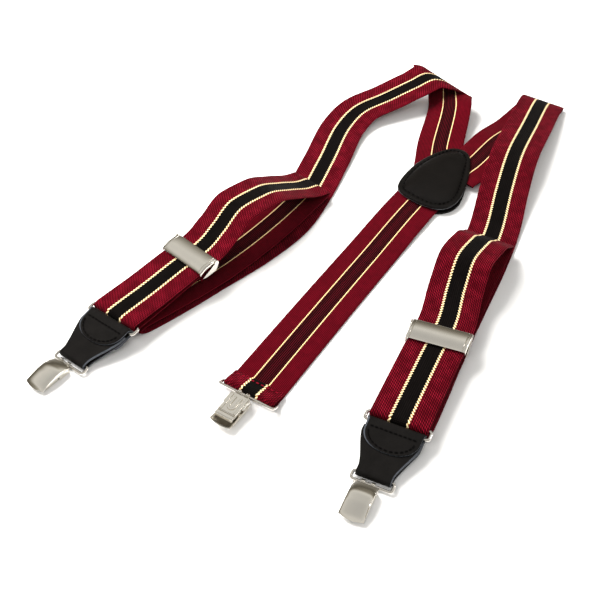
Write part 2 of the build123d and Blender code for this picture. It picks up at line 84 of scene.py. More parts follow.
# Route points: x, y, z of the webbing's middle, the angle of its width seen from above, its roll.
LEFT_RING = (-114.0, -24.5, 10.4)
RIGHT_RING = (56.0, -105.5, 8.0)
LEFT_TAB_TURN, RIGHT_TAB_TURN = -37.5, -25.0
LEFT_ROUTE = [
    (-100, -8, 13.0, -43, 0), (-81, 13, 15.7, -44, 0), (-62, 34, 18.5, -44, 0), (-54, 46, 22.0, -43, 0),
    (-42, 61, 30.0, -44, 0), (-26, 78, 28.0, -45, 0), (-11, 94, 19.0, -45, 0), (2, 108, 9.6, -45, 0),
    (9, 115, 6.6, -45, 0), (3, 107, 4.4, -44, 0), (-16, 79, 4.4, -42, 0), (-40, 48, 4.4, -45, 0),
    (-64, 22, 4.4, -49, 0), (-88, 1, 4.2, -49, 0), (-107, -15, 4.0, -49, 0), (-111, -19, 2.4, -47, 0),
    (-106, -16, 0.8, -46, 0), (-84, 2, 0.8, -46, 0), (-59, 25, 0.8, -46, 0), (-34, 48, 0.8, -45, 0),
    (-9, 78, 0.8, -35, 0), (6, 110, 1.0, -22, 0), (20, 149, 2.0, -19, 0), (34, 190, 4.0, -23, 0),
    (48, 210, 7.0, -40, 0), (70, 223, 10.0, -57, 0), (92, 234, 15.0, -56, 0), (107, 241, 18.0, -53, -2),
    (117, 240, 15.5, -47, -6), (121.5, 233, 11.5, -38, 2), (120.5, 217, 8.8, -27, 14),
    (108, 167, 2.25, -16, 0), (103, 140, 2.3, -13, 0), (100, 126, 2.3, -11, 0),
]
RIGHT_ROUTE = [
    (64, -88, 10.2, -20, 0), (77, -60, 10.9, -21, 0), (91, -30, 11.8, -22, 0), (99, -4, 15.0, -24, 0),
    (107, 16, 22.5, -28, 0), (119, 35, 20.0, -30, 0), (126, 47, 11.5, -30, 0), (129, 52, 7.4, -30, 0),
    (125, 45, 4.4, -28, 0), (106, 5, 4.2, -24, 0), (88, -38, 4.0, -24, 0), (68, -81, 4.0, -24, 0),
    (58, -103, 4.0, -23, 0), (55, -108, 2.4, -23, 0), (59, -101, 0.8, -23, 0), (71, -75, 0.8, -24, 0),
    (87, -38, 0.8, -24, 0), (105, 0, 0.8, -24, 0), (122, 36, 0.8, -23, 0), (136, 70, 2.0, -21, 0),
    (147, 105, 7.5, -20, 0), (160, 142, 12.0, -22, 0), (179, 185, 9.0, -26, 0), (197, 225, 4.4, -32, -2),
    (199, 228, 2.6, -35, 0), (194, 221, 0.9, -38, 0), (174, 196, 0.8, -40, 0), (150, 168, 4.3, -42, 0),
    (129, 140.5, 4.4, -46, 0), (114, 125.5, 4.4, -49, 0),
]
BACK_TURN = -32.5
BACK_BAR = (-29.0, -80.6, 2.8)
BACK_ROUTE = [
    (-20, -66, 0.8, -32, 0), (4, -27, 0.8, -32, 0), (44, 37, 0.8, -32, 0), (74, 84, 2.2, -32, 0),
    (88, 105, 2.3, -32, 0),
]
LEFT_ADJUSTER = (-72.0, 23.0, 17.0)
RIGHT_ADJUSTER = (84.0, -45.0, 11.5)
# Sewn tail round the adjuster's rear bar: along the strap and up, from the adjuster's middle.
TAIL_STOPS = [(-18, -2.4), (-9, -1.95), (2.4, -1.95), (3.9, -3.45), (2.4, -4.95), (-7, -4.95)]
YOKE_OUTLINE = [(71, 112), (82, 134), (98, 150), (116, 159), (127, 152), (126, 132), (118, 105), (108, 90),
                (96, 87), (80, 97)]
YOKE_MIDDLE = (100.0, 121.0)
YOKE_HELD_AT = (126.0, 140.0)   # where three straps lie under the patch and hold it up
YOKE_DROOP = 0.91               # how far its rim sinks elsewhere
CAMERA_AT = (0.0, -438.7, 431.1)

# ---------------------------------------------------------------- camera and light


def placed(x, y, z):
    """A spot in the layout, in the frame's own place, in millimetres."""
    return Vector((x - LAYOUT_CENTRE[0], y - LAYOUT_CENTRE[1], z))


def aim(thing, target):
    """Turn a camera or light so that it looks at the target, upright."""
    thing.rotation_euler = (Vector(target) - thing.location).to_track_quat("-Z", "Y").to_euler()


def make_camera():
    camera = bpy.data.objects.new("camera", bpy.data.cameras.new("camera"))
    bpy.context.scene.collection.objects.link(camera)
    camera.data.lens = 57.0
    camera.data.sensor_width = 36.0
    camera.location = placed(*CAMERA_AT) * MM
    aim(camera, placed(0, 0, 0) * MM)
    bpy.context.scene.camera = camera


def softbox(name, spot, size, power, tint=(1.0, 1.0, 1.0), mirrored=False):
    """Square-cornered light aimed at the middle of the layout; polished metal shows it only if mirrored."""
    lamp = bpy.data.lights.new(name, "AREA")
    lamp.shape = "RECTANGLE"
    lamp.size, lamp.size_y = size
    lamp.energy = power
    lamp.color = tint
    holder = bpy.data.objects.new(name, lamp)
    bpy.context.scene.collection.objects.link(holder)
    holder.location = spot
    holder.visible_glossy = mirrored
    aim(holder, (0.0, 0.0, 0.0))


def make_lights():
    softbox("key_softbox", (-0.66, 0.55, 0.80), (0.85, 0.85), 42.0, (1.0, 0.985, 0.96))
    softbox("front_fill", (-0.25, -0.85, 0.90), (0.80, 0.40), 4.0)
    softbox("side_strip", (0.90, -0.10, 0.45), (0.15, 0.80), 1.6, mirrored=True)


def make_world():
    """Bright above and a warm grey low down, which gives polished metal its bands."""
    world = bpy.data.worlds.new("studio")
    bpy.context.scene.world = world
    world.use_nodes = True
    nodes, links = world.node_tree.nodes, world.node_tree.links
    place = nodes.new("ShaderNodeTexCoord")
    height = nodes.new("ShaderNodeSeparateXYZ")
    bands = nodes.new("ShaderNodeValToRGB")
    links.new(place.outputs["Generated"], height.inputs[0])
    links.new(height.outputs["Z"], bands.inputs[0])
    links.new(bands.outputs[0], nodes["Background"].inputs["Color"])
    stops = [(0.0, (0.75, 0.75, 0.75, 1)), (0.30, (0.30, 0.28, 0.24, 1)), (0.46, (0.13, 0.115, 0.09, 1)),
             (0.60, (0.36, 0.33, 0.27, 1)), (0.74, (1.0, 0.98, 0.93, 1)), (1.0, (0.70, 0.69, 0.67, 1))]
    while len(bands.color_ramp.elements) < len(stops):
        bands.color_ramp.elements.new(0.5)
    for element, (position, colour) in zip(bands.color_ramp.elements, stops):
        element.position = position
        element.color = colour
    nodes["Background"].inputs["Strength"].default_value = 0.70


# ---------------------------------------------------------------- shader arithmetic


class Value:
    """A socket that takes Python arithmetic; each operation adds its Math node."""

    def __init__(self, paint, socket):
        self.paint = paint
        self.socket = socket

    def math(self, operation, *others, clamp=False):
        inputs = {i: other for i, other in enumerate((self,) + others)}
        return self.paint.node("ShaderNodeMath", {"operation": operation, "use_clamp": clamp}, inputs)

    def __add__(self, other):
        return self.math("ADD", other)

    def __mul__(self, other):
        return self.math("MULTIPLY", other)

    def __sub__(self, other):
        return self.math("SUBTRACT", other)

    def __rsub__(self, other):
        return (self * -1.0) + other

    __radd__ = __add__
    __rmul__ = __mul__

    def wave(self, pitch):
        """1 on the crests of a sine of that pitch and 0 in its troughs."""
        return (self * (2 * math.pi / pitch)).math("SINE") * 0.5 + 0.5

    def above(self, level, blur):
        """0 below the level and 1 above it, over a short ramp."""
        return ((self - level) * (1.0 / blur)).math("ADD", 0.5, clamp=True)

    def below(self, level, blur):
        return ((self * -1.0 + level) * (1.0 / blur)).math("ADD", 0.5, clamp=True)


class Paint:
    """One procedural material and its nodes."""

    def __init__(self, name):
        self.material = bpy.data.materials.new(name)
        self.material.use_nodes = True
        self.tree = self.material.node_tree
        self.shader = self.tree.nodes["Principled BSDF"]

    def node(self, kind, settings, inputs, output=0):
        made = self.tree.nodes.new(kind)
        for setting, value in settings.items():
            setattr(made, setting, value)
        for socket, value in inputs.items():
            if isinstance(value, Value):
                self.tree.links.new(value.socket, made.inputs[socket])
            else:
                made.inputs[socket].default_value = value
        return Value(self, made.outputs[output])

    def place(self):
        return self.node("ShaderNodeTexCoord", {}, {}, "Object")

    def cloth(self):
        """Across and along the webbing, in millimetres."""
        place = self.node("ShaderNodeUVMap", {"uv_map": "weave"}, {})
        across = self.node("ShaderNodeSeparateXYZ", {}, {0: place}, "X")
        along = self.node("ShaderNodeSeparateXYZ", {}, {0: place}, "Y")
        return across * 100.0, along * 100.0

    def noise(self, scale, detail=3.0, rough=0.55, place=None):
        inputs = {"Vector": place or self.place(), "Scale": scale, "Detail": detail, "Roughness": rough}
        return self.node("ShaderNodeTexNoise", {}, inputs)

    def cells(self, scale):
        return self.node("ShaderNodeTexVoronoi", {}, {"Vector": self.place(), "Scale": scale}, "Distance")

    def blend(self, factor, first, second):
        def colour(value):
            return value if isinstance(value, Value) else (*value, 1.0)
        inputs = {0: factor, 6: colour(first), 7: colour(second)}
        return self.node("ShaderNodeMix", {"data_type": "RGBA"}, inputs, 2)

    def emboss(self, height, depth, strength=1.0):
        """Bump from a 0 to 1 height, depth in millimetres."""
        inputs = {"Strength": strength, "Distance": depth * MM, "Height": height}
        return self.node("ShaderNodeBump", {}, inputs)

    def finish(self, **sockets):
        for name, value in sockets.items():
            socket = self.shader.inputs[name.replace("_", " ")]
            if isinstance(value, Value):
                self.tree.links.new(value.socket, socket)
            elif isinstance(value, tuple):
                socket.default_value = (*value, 1.0)
            else:
                socket.default_value = value
        return self.material


# ---------------------------------------------------------------- finishes
# Webbing colours. The darkest wine is painted shade for the weave's grooves and the gaps between the selvedge
# cords; the lit wine and lit ink are painted highlights on the weave's crests.
WINE = (0.135, 0.0024, 0.0088)
WINE_LIT = (0.270, 0.0080, 0.0230)
WINE_SHADE = (0.014, 0.0003, 0.0012)
INK = (0.0016, 0.0012, 0.0011)
INK_LIT = (0.0085, 0.0066, 0.0060)
# Light lines: the cream is a painted highlight on the beads and twists, and the gold and the old gold are
# painted shade between them.
CREAM = (0.95, 0.79, 0.46)
GOLD = (0.40, 0.20, 0.06)
OLD_GOLD = (0.60, 0.33, 0.09)


RIB = 1.20                  # width of one rib of the webbing's face, mm
BACK_RIB = 1.05             # and of its plainer back
BEAD = 2.1                  # one stitch of the light lines, mm


def webbing_face(name, wobble=0.0):
    """Ribbed face with slanted picks, a plain centre and two beaded lines, with painted shade in the weave's
    grooves and painted highlights on its crests and beads.
    """
    paint = Paint(name)
    across, along = paint.cloth()
    drift = paint.noise(160.0, 2.0)
    if wobble:
        across = across + (paint.noise(420.0, 2.0) - 0.5) * wobble
    spread = across.math("ABSOLUTE")
    rib = (across * (math.pi / RIB)).math("SINE").math("ABSOLUTE")
    column = (across * (1 / RIB)).math("FLOOR")
    pick = (along + column * (RIB * 0.8) + across * 1.5).wave(RIB * 1.6)
    pick = pick * (paint.noise(900.0, 1.0) * 0.8 + 0.6)
    bead = (along + spread * 0.9).wave(BEAD)
    line = (spread - LINE_AT + (along.wave(BEAD) - 0.5) * 0.34).math("ABSOLUTE") - bead * 0.22
    line = line.below(LINE_HALF, 0.16)
    centre = spread.below(LINE_AT - 0.1, 0.2)
    weave = rib * (pick * 0.62 + 0.38)
    # Painted shade: the weave's grooves and picks are darkened towards the darkest wine.
    wine = paint.blend(weave.math("POWER", 1.3), WINE_SHADE, WINE)
    # Painted highlight: the weave's crests are lightened to the lit wine, patchily by the drift noise.
    wine = paint.blend((weave * drift).above(0.40, 0.30), wine, WINE_LIT)
    grain = along.wave(0.85) * rib
    # Painted highlight on the crests of the black centre's weave.
    ink = paint.blend(grain * drift * 1.5, INK, INK_LIT)
    # Painted highlight and painted shade on the beaded lines: cream on the bead crests, gold between them.
    light = paint.blend(bead.above(0.38, 0.5), GOLD, CREAM)
    colour = paint.blend(line, paint.blend(centre, wine, ink), light)
    height = weave * (1.0 - centre) + grain * centre * 0.5
    height = height * (1.0 - line) + line * (bead * 0.9 + 0.9)
    return paint.finish(Base_Color=colour, Roughness=0.86 - line * 0.25, Normal=paint.emboss(height, 0.30),
                        Sheen_Weight=0.015, Sheen_Roughness=0.45, Specular_IOR_Level=0.05)


def webbing_back():
    """Plainer reverse: ribs along the webbing, thinner lines and fine red ends in the centre, with painted
    shade between the ribs and painted highlights on the lines' twist.
    """
    paint = Paint("webbing_back")
    across, along = paint.cloth()
    spread = across.math("ABSOLUTE")
    drift = paint.noise(180.0, 2.0)
    rib = (across * (math.pi / BACK_RIB)).math("SINE").math("ABSOLUTE")
    pick = (along + across * 0.35).wave(0.95)
    weave = rib * (pick * 0.4 + 0.6)
    twist = (along + across * 0.8).wave(1.5)
    line = (spread - LINE_AT).math("ABSOLUTE") - twist * 0.07
    line = line.below(BACK_LINE_HALF, 0.12)
    centre = spread.below(LINE_AT - 0.1, 0.2)
    ends = across.wave(1.24).above(0.80, 0.22)
    # Painted shade: darker wine between the ribs and picks.
    wine = paint.blend(weave * (drift * 0.7 + 0.6), WINE_SHADE, WINE)
    ink = paint.blend(ends, INK, (0.085, 0.003, 0.008))
    # Painted highlight on the raised crests of the lines' twist, with painted shade between them.
    light = paint.blend(twist, OLD_GOLD, CREAM)
    colour = paint.blend(line, paint.blend(centre, wine, ink), light)
    height = weave * (1.0 - line) + line * (twist * 0.4 + 0.9)
    return paint.finish(Base_Color=colour, Roughness=0.84, Normal=paint.emboss(height, 0.20),
                        Sheen_Weight=0.015, Sheen_Roughness=0.45, Specular_IOR_Level=0.05)


def webbing_edge():
    """Selvedge: fine cords wrapped across the edge, with painted shade between the cords."""
    paint = Paint("webbing_edge")
    _, along = paint.cloth()
    cord = along.wave(0.9)
    # Painted shade: darker wine between the cords.
    colour = paint.blend(cord, WINE_SHADE, WINE)
    return paint.finish(Base_Color=colour, Roughness=0.9, Normal=paint.emboss(cord, 0.15),
                        Sheen_Weight=0.01, Specular_IOR_Level=0.06)


def leather(name, tone, roughness, coat):
    """Black leather: fine pebble grain, soft creases and a faint sheen."""
    paint = Paint(name)
    warp = paint.noise(340.0, 3.0)
    pebble = paint.cells(1500.0)
    pores = paint.noise(2600.0, 2.0)
    crease = paint.noise(120.0, 4.0, 0.6)
    colour = paint.blend(crease.above(0.52, 0.5), tuple(0.55 * part for part in tone), tone)
    grain = (1.0 - pebble) * 0.7 + pores * 0.3 + warp * 0.6
    shine = roughness + (warp - 0.5) * 0.18 + (crease - 0.5) * 0.10
    return paint.finish(Base_Color=colour, Roughness=shine, Normal=paint.emboss(grain, 0.075, 0.8),
                        Specular_IOR_Level=0.15, Coat_Weight=coat, Coat_Roughness=0.25)


def leather_edge_highlight():
    """Cut edge: painted highlight in pale blue-grey, broken into fibres over black."""
    paint = Paint("leather_edge_highlight")
    fibres = paint.noise(1400.0, 4.0, 0.7)
    colour = paint.blend(fibres.above(0.5, 0.35), (0.020, 0.022, 0.026), (0.085, 0.095, 0.115))
    return paint.finish(Base_Color=colour, Roughness=0.62, Normal=paint.emboss(fibres, 0.1))


def nickel(name, tone, low, high):
    """Polished nickel plate with hairlines and a little haze."""
    paint = Paint(name)
    drawn = {"Vector": paint.place(), "Scale": (1.0, 0.08, 1.0), "Rotation": (0.0, 0.0, 0.7)}
    hairs = paint.noise(900.0, 4.0, 0.7, paint.node("ShaderNodeMapping", {}, drawn))
    haze = paint.noise(75.0, 3.0)
    colour = paint.blend(haze.above(0.5, 0.6), tone, tuple(0.93 * part for part in tone))
    shine = hairs * (high - low) * 0.5 + haze * (high - low) * 0.5 + low
    return paint.finish(Base_Color=colour, Metallic=1.0, Roughness=shine)


def thread(name, dark, light):
    """Waxed twisted thread."""
    paint = Paint(name)
    place = paint.node("ShaderNodeMapping", {}, {"Vector": paint.place(), "Rotation": (0.0, 0.0, 0.6)})
    twist = paint.node("ShaderNodeTexWave", {"bands_direction": "DIAGONAL"},
                       {"Vector": place, "Scale": 900.0, "Distortion": 0.6})
    colour = paint.blend(twist, dark, light)
    return paint.finish(Base_Color=colour, Roughness=0.6, Normal=paint.emboss(twist, 0.08),
                        Specular_IOR_Level=0.08)


def grip_finish():
    paint = Paint("grip_pad")
    fleck = paint.noise(700.0, 3.0)
    colour = paint.blend(fleck, (0.50, 0.46, 0.39), (0.66, 0.62, 0.54))
    return paint.finish(Base_Color=colour, Roughness=fleck * 0.2 + 0.45, Normal=paint.emboss(fleck, 0.04))


def floor_finish():
    paint = Paint("paper_sweep")
    tooth = paint.noise(900.0, 2.0)
    colour = paint.blend(tooth, (0.90, 0.90, 0.90), (0.93, 0.93, 0.93))
    return paint.finish(Base_Color=colour, Roughness=0.9, Specular_IOR_Level=0.1)


FACE, REVERSE, EDGE = webbing_face("webbing_face"), webbing_back(), webbing_edge()
HEM = webbing_face("webbing_hem", wobble=1.1)
LEATHER = leather("leather", (0.0068, 0.0060, 0.0056), 0.50, 0.0)
PATENT = leather("yoke_leather", (0.0034, 0.0026, 0.0023), 0.34, 0.10)
# Painted highlight for the leather's cut edges.
EDGE_HIGHLIGHT = leather_edge_highlight()
NICKEL = nickel("nickel", (0.90, 0.86, 0.78), 0.09, 0.19)
WIRE = nickel("nickel_wire", (0.84, 0.80, 0.74), 0.12, 0.22)
BLACK_THREAD = thread("black_thread", (0.0010, 0.0009, 0.0009), (0.0030, 0.0027, 0.0026))
RED_THREAD = thread("red_thread", (0.10, 0.002, 0.007), (0.27, 0.007, 0.020))
GRIP = grip_finish()

# ---------------------------------------------------------------- routes


def knots(route):
    """A route's points moved into the frame's own place."""
    return [(*placed(x, y, z), turn, roll) for x, y, z, turn, roll in route]


def direction(turn):
    """Level direction, 90 degrees clockwise from the width at this turn: outwards along a strap end."""
    angle = math.radians(turn - 90)
    return Vector((math.cos(angle), math.sin(angle), 0))


def width_line(turn, roll=0.0):
    turn, roll = math.radians(turn), math.radians(roll)
    return Vector((math.cos(turn) * math.cos(roll), math.sin(turn) * math.cos(roll), math.sin(roll)))


def slopes(times, values):
    """Slope at each knot: level at a turning point, so the curve never overshoots its knots."""
    steps = [(values[i + 1] - values[i]) / (times[i + 1] - times[i]) for i in range(len(values) - 1)]
    inner = []
    for before, after in zip(steps, steps[1:]):
        inner.append(0.0 if before * after <= 0 else 2 * before * after / (before + after))
    return [steps[0]] + inner + [steps[-1]]


def smooth(route):
    """Points on a smooth curve through the knots, each (x, y, z, turn, roll), with its tangent."""
    times = [0.0]
    for a, b in zip(route, route[1:]):
        times.append(times[-1] + math.sqrt(math.dist(a[:3], b[:3])))
    grades = [slopes(times, [knot[k] for knot in route]) for k in range(5)]
    points = []
    for i in range(len(route) - 1):
        span = times[i + 1] - times[i]
        count = max(3, math.ceil(math.dist(route[i][:3], route[i + 1][:3]) / STRAP_STEP))
        last = i == len(route) - 2
        for j in range(count + 1 if last else count):
            s = j / count
            value, slope = [], []
            for k in range(5):
                a, b = route[i][k], route[i + 1][k]
                ma, mb = grades[k][i] * span, grades[k][i + 1] * span
                value.append((2 * s**3 - 3 * s**2 + 1) * a + (s**3 - 2 * s**2 + s) * ma
                             + (3 * s**2 - 2 * s**3) * b + (s**3 - s**2) * mb)
                slope.append((6 * s**2 - 6 * s) * (a - b) + (3 * s**2 - 4 * s + 1) * ma
                             + (3 * s**2 - 2 * s) * mb)
            points.append((value, Vector(slope[:3]).normalized()))
    return points


def ring_turn(bar, turn, wire_r, back_length):
    """Route round a wire: in under it, round its outer side and out over it."""
    radius = wire_r + TURN_GAP + STRAP_GAUGE / 2
    out = direction(turn)
    below = bar - out * back_length
    points = [(below.x, below.y, bar.z - radius, turn, 0)]
    for angle in (-90, -45, 0, 45, 90):
        spot = bar + out * radius * math.cos(math.radians(angle))
        points.append((spot.x, spot.y, bar.z + radius * math.sin(math.radians(angle)), turn, 0))
    return points


# ---------------------------------------------------------------- flat goods: webbing and leather strip


def add_mesh(name, points, faces, paints, slots, uvs=None, crease=40.0):
    """A piece from points in millimetres; slots gives each face its paint."""
    mesh = bpy.data.meshes.new(name)
    mesh.from_pydata([tuple(c * MM for c in point) for point in points], [], faces)
    for paint in paints:
        mesh.materials.append(paint)
    mesh.polygons.foreach_set("material_index", slots)
    if uvs:
        layer = mesh.uv_layers.new(name="weave")
        for loop in mesh.loops:
            layer.data[loop.index].uv = uvs[loop.vertex_index]
    piece = bpy.data.objects.new(name, mesh)
    bpy.context.scene.collection.objects.link(piece)
    bpy.ops.object.select_all(action="DESELECT")
    bpy.context.view_layer.objects.active = piece
    piece.select_set(True)
    bpy.ops.object.shade_smooth_by_angle(angle=math.radians(crease))
    return piece


def strip(name, rows, columns, profile, paints, slot_of, uv=True):
    """Flat strip swept through rows of (middle, across, face normal, half width, distance along).

    profile(share, along) gives the face and the back height from the middle, for share -1 to 1
    across, and slot_of(side, share, along) gives a paint, for side face, back or edge."""
    points, uvs, faces, slots = [], [], [], []
    even = [2 * i / columns - 1 for i in range(columns + 1)]
    shares = [0.75 * share + 0.25 * math.sin(math.pi / 2 * share) for share in even]   # closer at the edges
    ring = [("face", share) for share in shares] + [("back", share) for share in reversed(shares)]
    for middle, across, normal, half, along in rows:
        for side, share in ring:
            face, back = profile(share, along)
            lift = face if side == "face" else -back
            points.append(middle + across * (half * share) + normal * lift)
            uvs.append((half * share / 100.0, along / 100.0))
    around = len(ring)
    for r in range(len(rows) - 1):
        for c in range(around):
            n = (c + 1) % around
            faces.append((r * around + c, r * around + n, (r + 1) * around + n, (r + 1) * around + c))
            (side, share), (other, _) = ring[c], ring[n]
            slots.append(slot_of("edge" if side != other else side, share, rows[r][4]))
    for r in (0, len(rows) - 1):
        for c in range(columns):
            first, second = r * around + c, r * around + c + 1
            third, fourth = r * around + around - 2 - c, r * around + around - 1 - c
            faces.append((first, fourth, third, second) if r == 0 else (first, second, third, fourth))
            slots.append(slot_of("edge", 0.0, rows[r][4]))
    piece = add_mesh(name, points, faces, paints, slots, uvs if uv else None)
    return face_outwards(piece)


def face_outwards(piece):
    bpy.ops.object.mode_set(mode="EDIT")
    bpy.ops.mesh.select_all(action="SELECT")
    bpy.ops.mesh.normals_make_consistent(inside=False)
    bpy.ops.mesh.select_all(action="DESELECT")
    bpy.ops.object.mode_set(mode="OBJECT")
    return piece


def webbing_profile(share, along):
    """Half thickness of the webbing: thin rounded selvedge and slightly proud light lines."""
    spot = abs(share) * STRAP_WIDTH / 2
    selvedge = max(0.0, (spot - STRAP_WIDTH / 2) / SELVEDGE + 1.0)
    half = STRAP_THICK / 2 * (1.0 - 0.45 * selvedge**2)
    line = max(0.0, 1.0 - abs(spot - LINE_AT) / 1.0)
    return half + 0.06 * line - 0.03, half + 0.03 * line - 0.03


def strap_rows(route, sense):
    """Rows for a webbing strip; sense is 1 where the face is up as the route runs, else -1."""
    rows, along, before = [], 0.0, None
    for value, tangent in smooth(route):
        across = width_line(value[3], value[4])
        run = tangent - across * tangent.dot(across)
        half = STRAP_WIDTH / max(run.length, 0.8) / 2
        middle = Vector(value[:3])
        if before is not None:
            along += (middle - before).length
        before = middle
        rows.append((middle, across, across.cross(run).normalized() * sense, half, along))
    return rows


def webbing(name, route, sense, node, hem_length=0.0):
    """One strap along its route; up to the hem's length its face has the hem's looser weave."""
    rows = strap_rows(route, sense)

    def slot_of(side, share, along):
        if side == "edge":
            return 2
        if side == "back":
            return 1
        return 3 if along < hem_length else 0

    piece = strip(name, rows, STRAP_COLUMNS, webbing_profile, [FACE, REVERSE, EDGE, HEM], slot_of)
    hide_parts(node)
    rows[-1][4] * MM
    return piece


# ---------------------------------------------------------------- leather tab


def tab_frame(side):
    """Origin on the ring's lower bar; x across, y down the tab and z out of its face."""
    top = Vector(JOINTS[f"{side}_tab_swing"]["pos_m"]) / MM
    low = Vector(JOINTS[f"{side}_bail_swing"]["pos_m"]) / MM
    x = Vector(JOINTS[f"{side}_tab_swing"]["axis"])
    y = (low - top).normalized()
    return top, x, y, x.cross(y)


def leather_profile(share, along):
    """Rounded cut edges."""
    edge = max(0.0, (abs(share) - 0.93) / 0.07)
    half = LEATHER_THICK / 2 * (1.0 - 0.35 * edge**2)
    return half, half


def tab_half_width(y):
    """Plan of the tab: straight beside the flap, then drawn in to the bail."""
    share = min(1.0, max(0.0, (y - 8.0) / (TAB_LENGTH - 11.0)))
    ease = share * share * (3 - 2 * share) * 0.35 + share * 0.65
    return TAB_TOP_HALF + (TAB_LOW_HALF - TAB_TOP_HALF) * ease


def leather_strip(name, side, path, half_width):
    """Strip of leather along a side profile of (y, z) points in the tab's own frame."""
    origin, x, y, z = tab_frame(side)
    rows, along = [], 0.0
    for i, (down, up) in enumerate(path):
        a, b = path[max(i - 1, 0)], path[min(i + 1, len(path) - 1)]
        run = (y * (b[0] - a[0]) + z * (b[1] - a[1])).normalized()
        if i:
            along += math.dist(path[i - 1], path[i])
        middle = origin + y * down + z * up
        rows.append((middle, x, x.cross(run), max(half_width(down, i), 0.05), along))
    # The cut edges and the outermost sliver of the face take the painted edge highlight.
    piece = strip(name, rows, 28, leather_profile, [LEATHER, EDGE_HIGHLIGHT],
                  lambda face, share, spot: 1 if face == "edge" or abs(share) > 0.975 else 0, uv=False)
    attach(piece, f"{side}_tab")
    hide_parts(f"{side}_leather_tab")
    return piece


def arc(centre, radius, start, end, count):
    """Points on an arc in the side profile, angles in degrees from +y towards +z."""
    points = []
    for i in range(count + 1):
        angle = math.radians(start + (end - start) * i / count)
        points.append((centre + radius * math.cos(angle), radius * math.sin(angle)))
    return points


def eased(a, b, count):
    """Side profile from a to b, level at both ends."""
    points = []
    for i in range(1, count):
        s = i / count
        points.append((a[0] + (b[0] - a[0]) * s, a[1] + (b[1] - a[1]) * (3 * s**2 - 2 * s**3)))
    return points


def make_tab(side):
    """Long piece sewn under the flap and folded round the bail; flap folded round the ring."""
    low_r = BAIL_WIRE_R + TURN_GAP + LEATHER_THICK / 2
    top_r = RING_WIRE_R + TURN_GAP + LEATHER_THICK / 2
    front, back = (4.0, 0.70), (4.0, -0.70)
    fold = arc(TAB_LENGTH, low_r, 88, -88, 12)
    body = [front] + eased(front, (10.0, 0.74), 5) + [(10.0, 0.74)] + eased((10.0, 0.74), fold[0], 14) + fold
    body += eased(fold[-1], back, 22) + [back]
    leather_strip(f"{side}_tab_body", side, body, lambda down, i: tab_half_width(down))

    tip, centre = 17.4, 5.6     # the flap's round end, and where its curve starts
    count = 18
    tongue = []
    for i in range(count + 1):
        down = centre + (tip - centre) * math.cos(math.pi / 2 * i / count)
        tongue.append((down, top_r - 0.004 * (down - centre)))
    turn = arc(0.0, top_r, 88, 272, 14)
    under = eased(turn[-1], (13.0, -top_r + 0.02), 8) + [(13.0, -top_r + 0.02)]

    widest = TAB_TOP_HALF - 1.1

    def flap_half(down, i):
        if i <= count:
            return widest * math.sin(math.pi / 2 * i / count) ** 0.86
        ease = min(1.0, (i - count) / 4)
        return widest + (tab_half_width(down) - TAB_TOP_HALF + 1.0) * ease

    leather_strip(f"{side}_tab_flap", side, tongue + turn + under, flap_half)


# ---------------------------------------------------------------- yoke


def outline_point(share):
    """Point on the closed smooth curve through the yoke's corner points."""
    count = len(YOKE_OUTLINE)
    i = int(share * count) % count
    s = share * count - int(share * count)
    p = [Vector(YOKE_OUTLINE[(i + k - 1) % count]) for k in range(4)]
    return 0.5 * (2 * p[1] + (p[2] - p[0]) * s + (2 * p[0] - 5 * p[1] + 4 * p[2] - p[3]) * s**2
                  + (3 * p[1] - p[0] - 3 * p[2] + p[3]) * s**3)


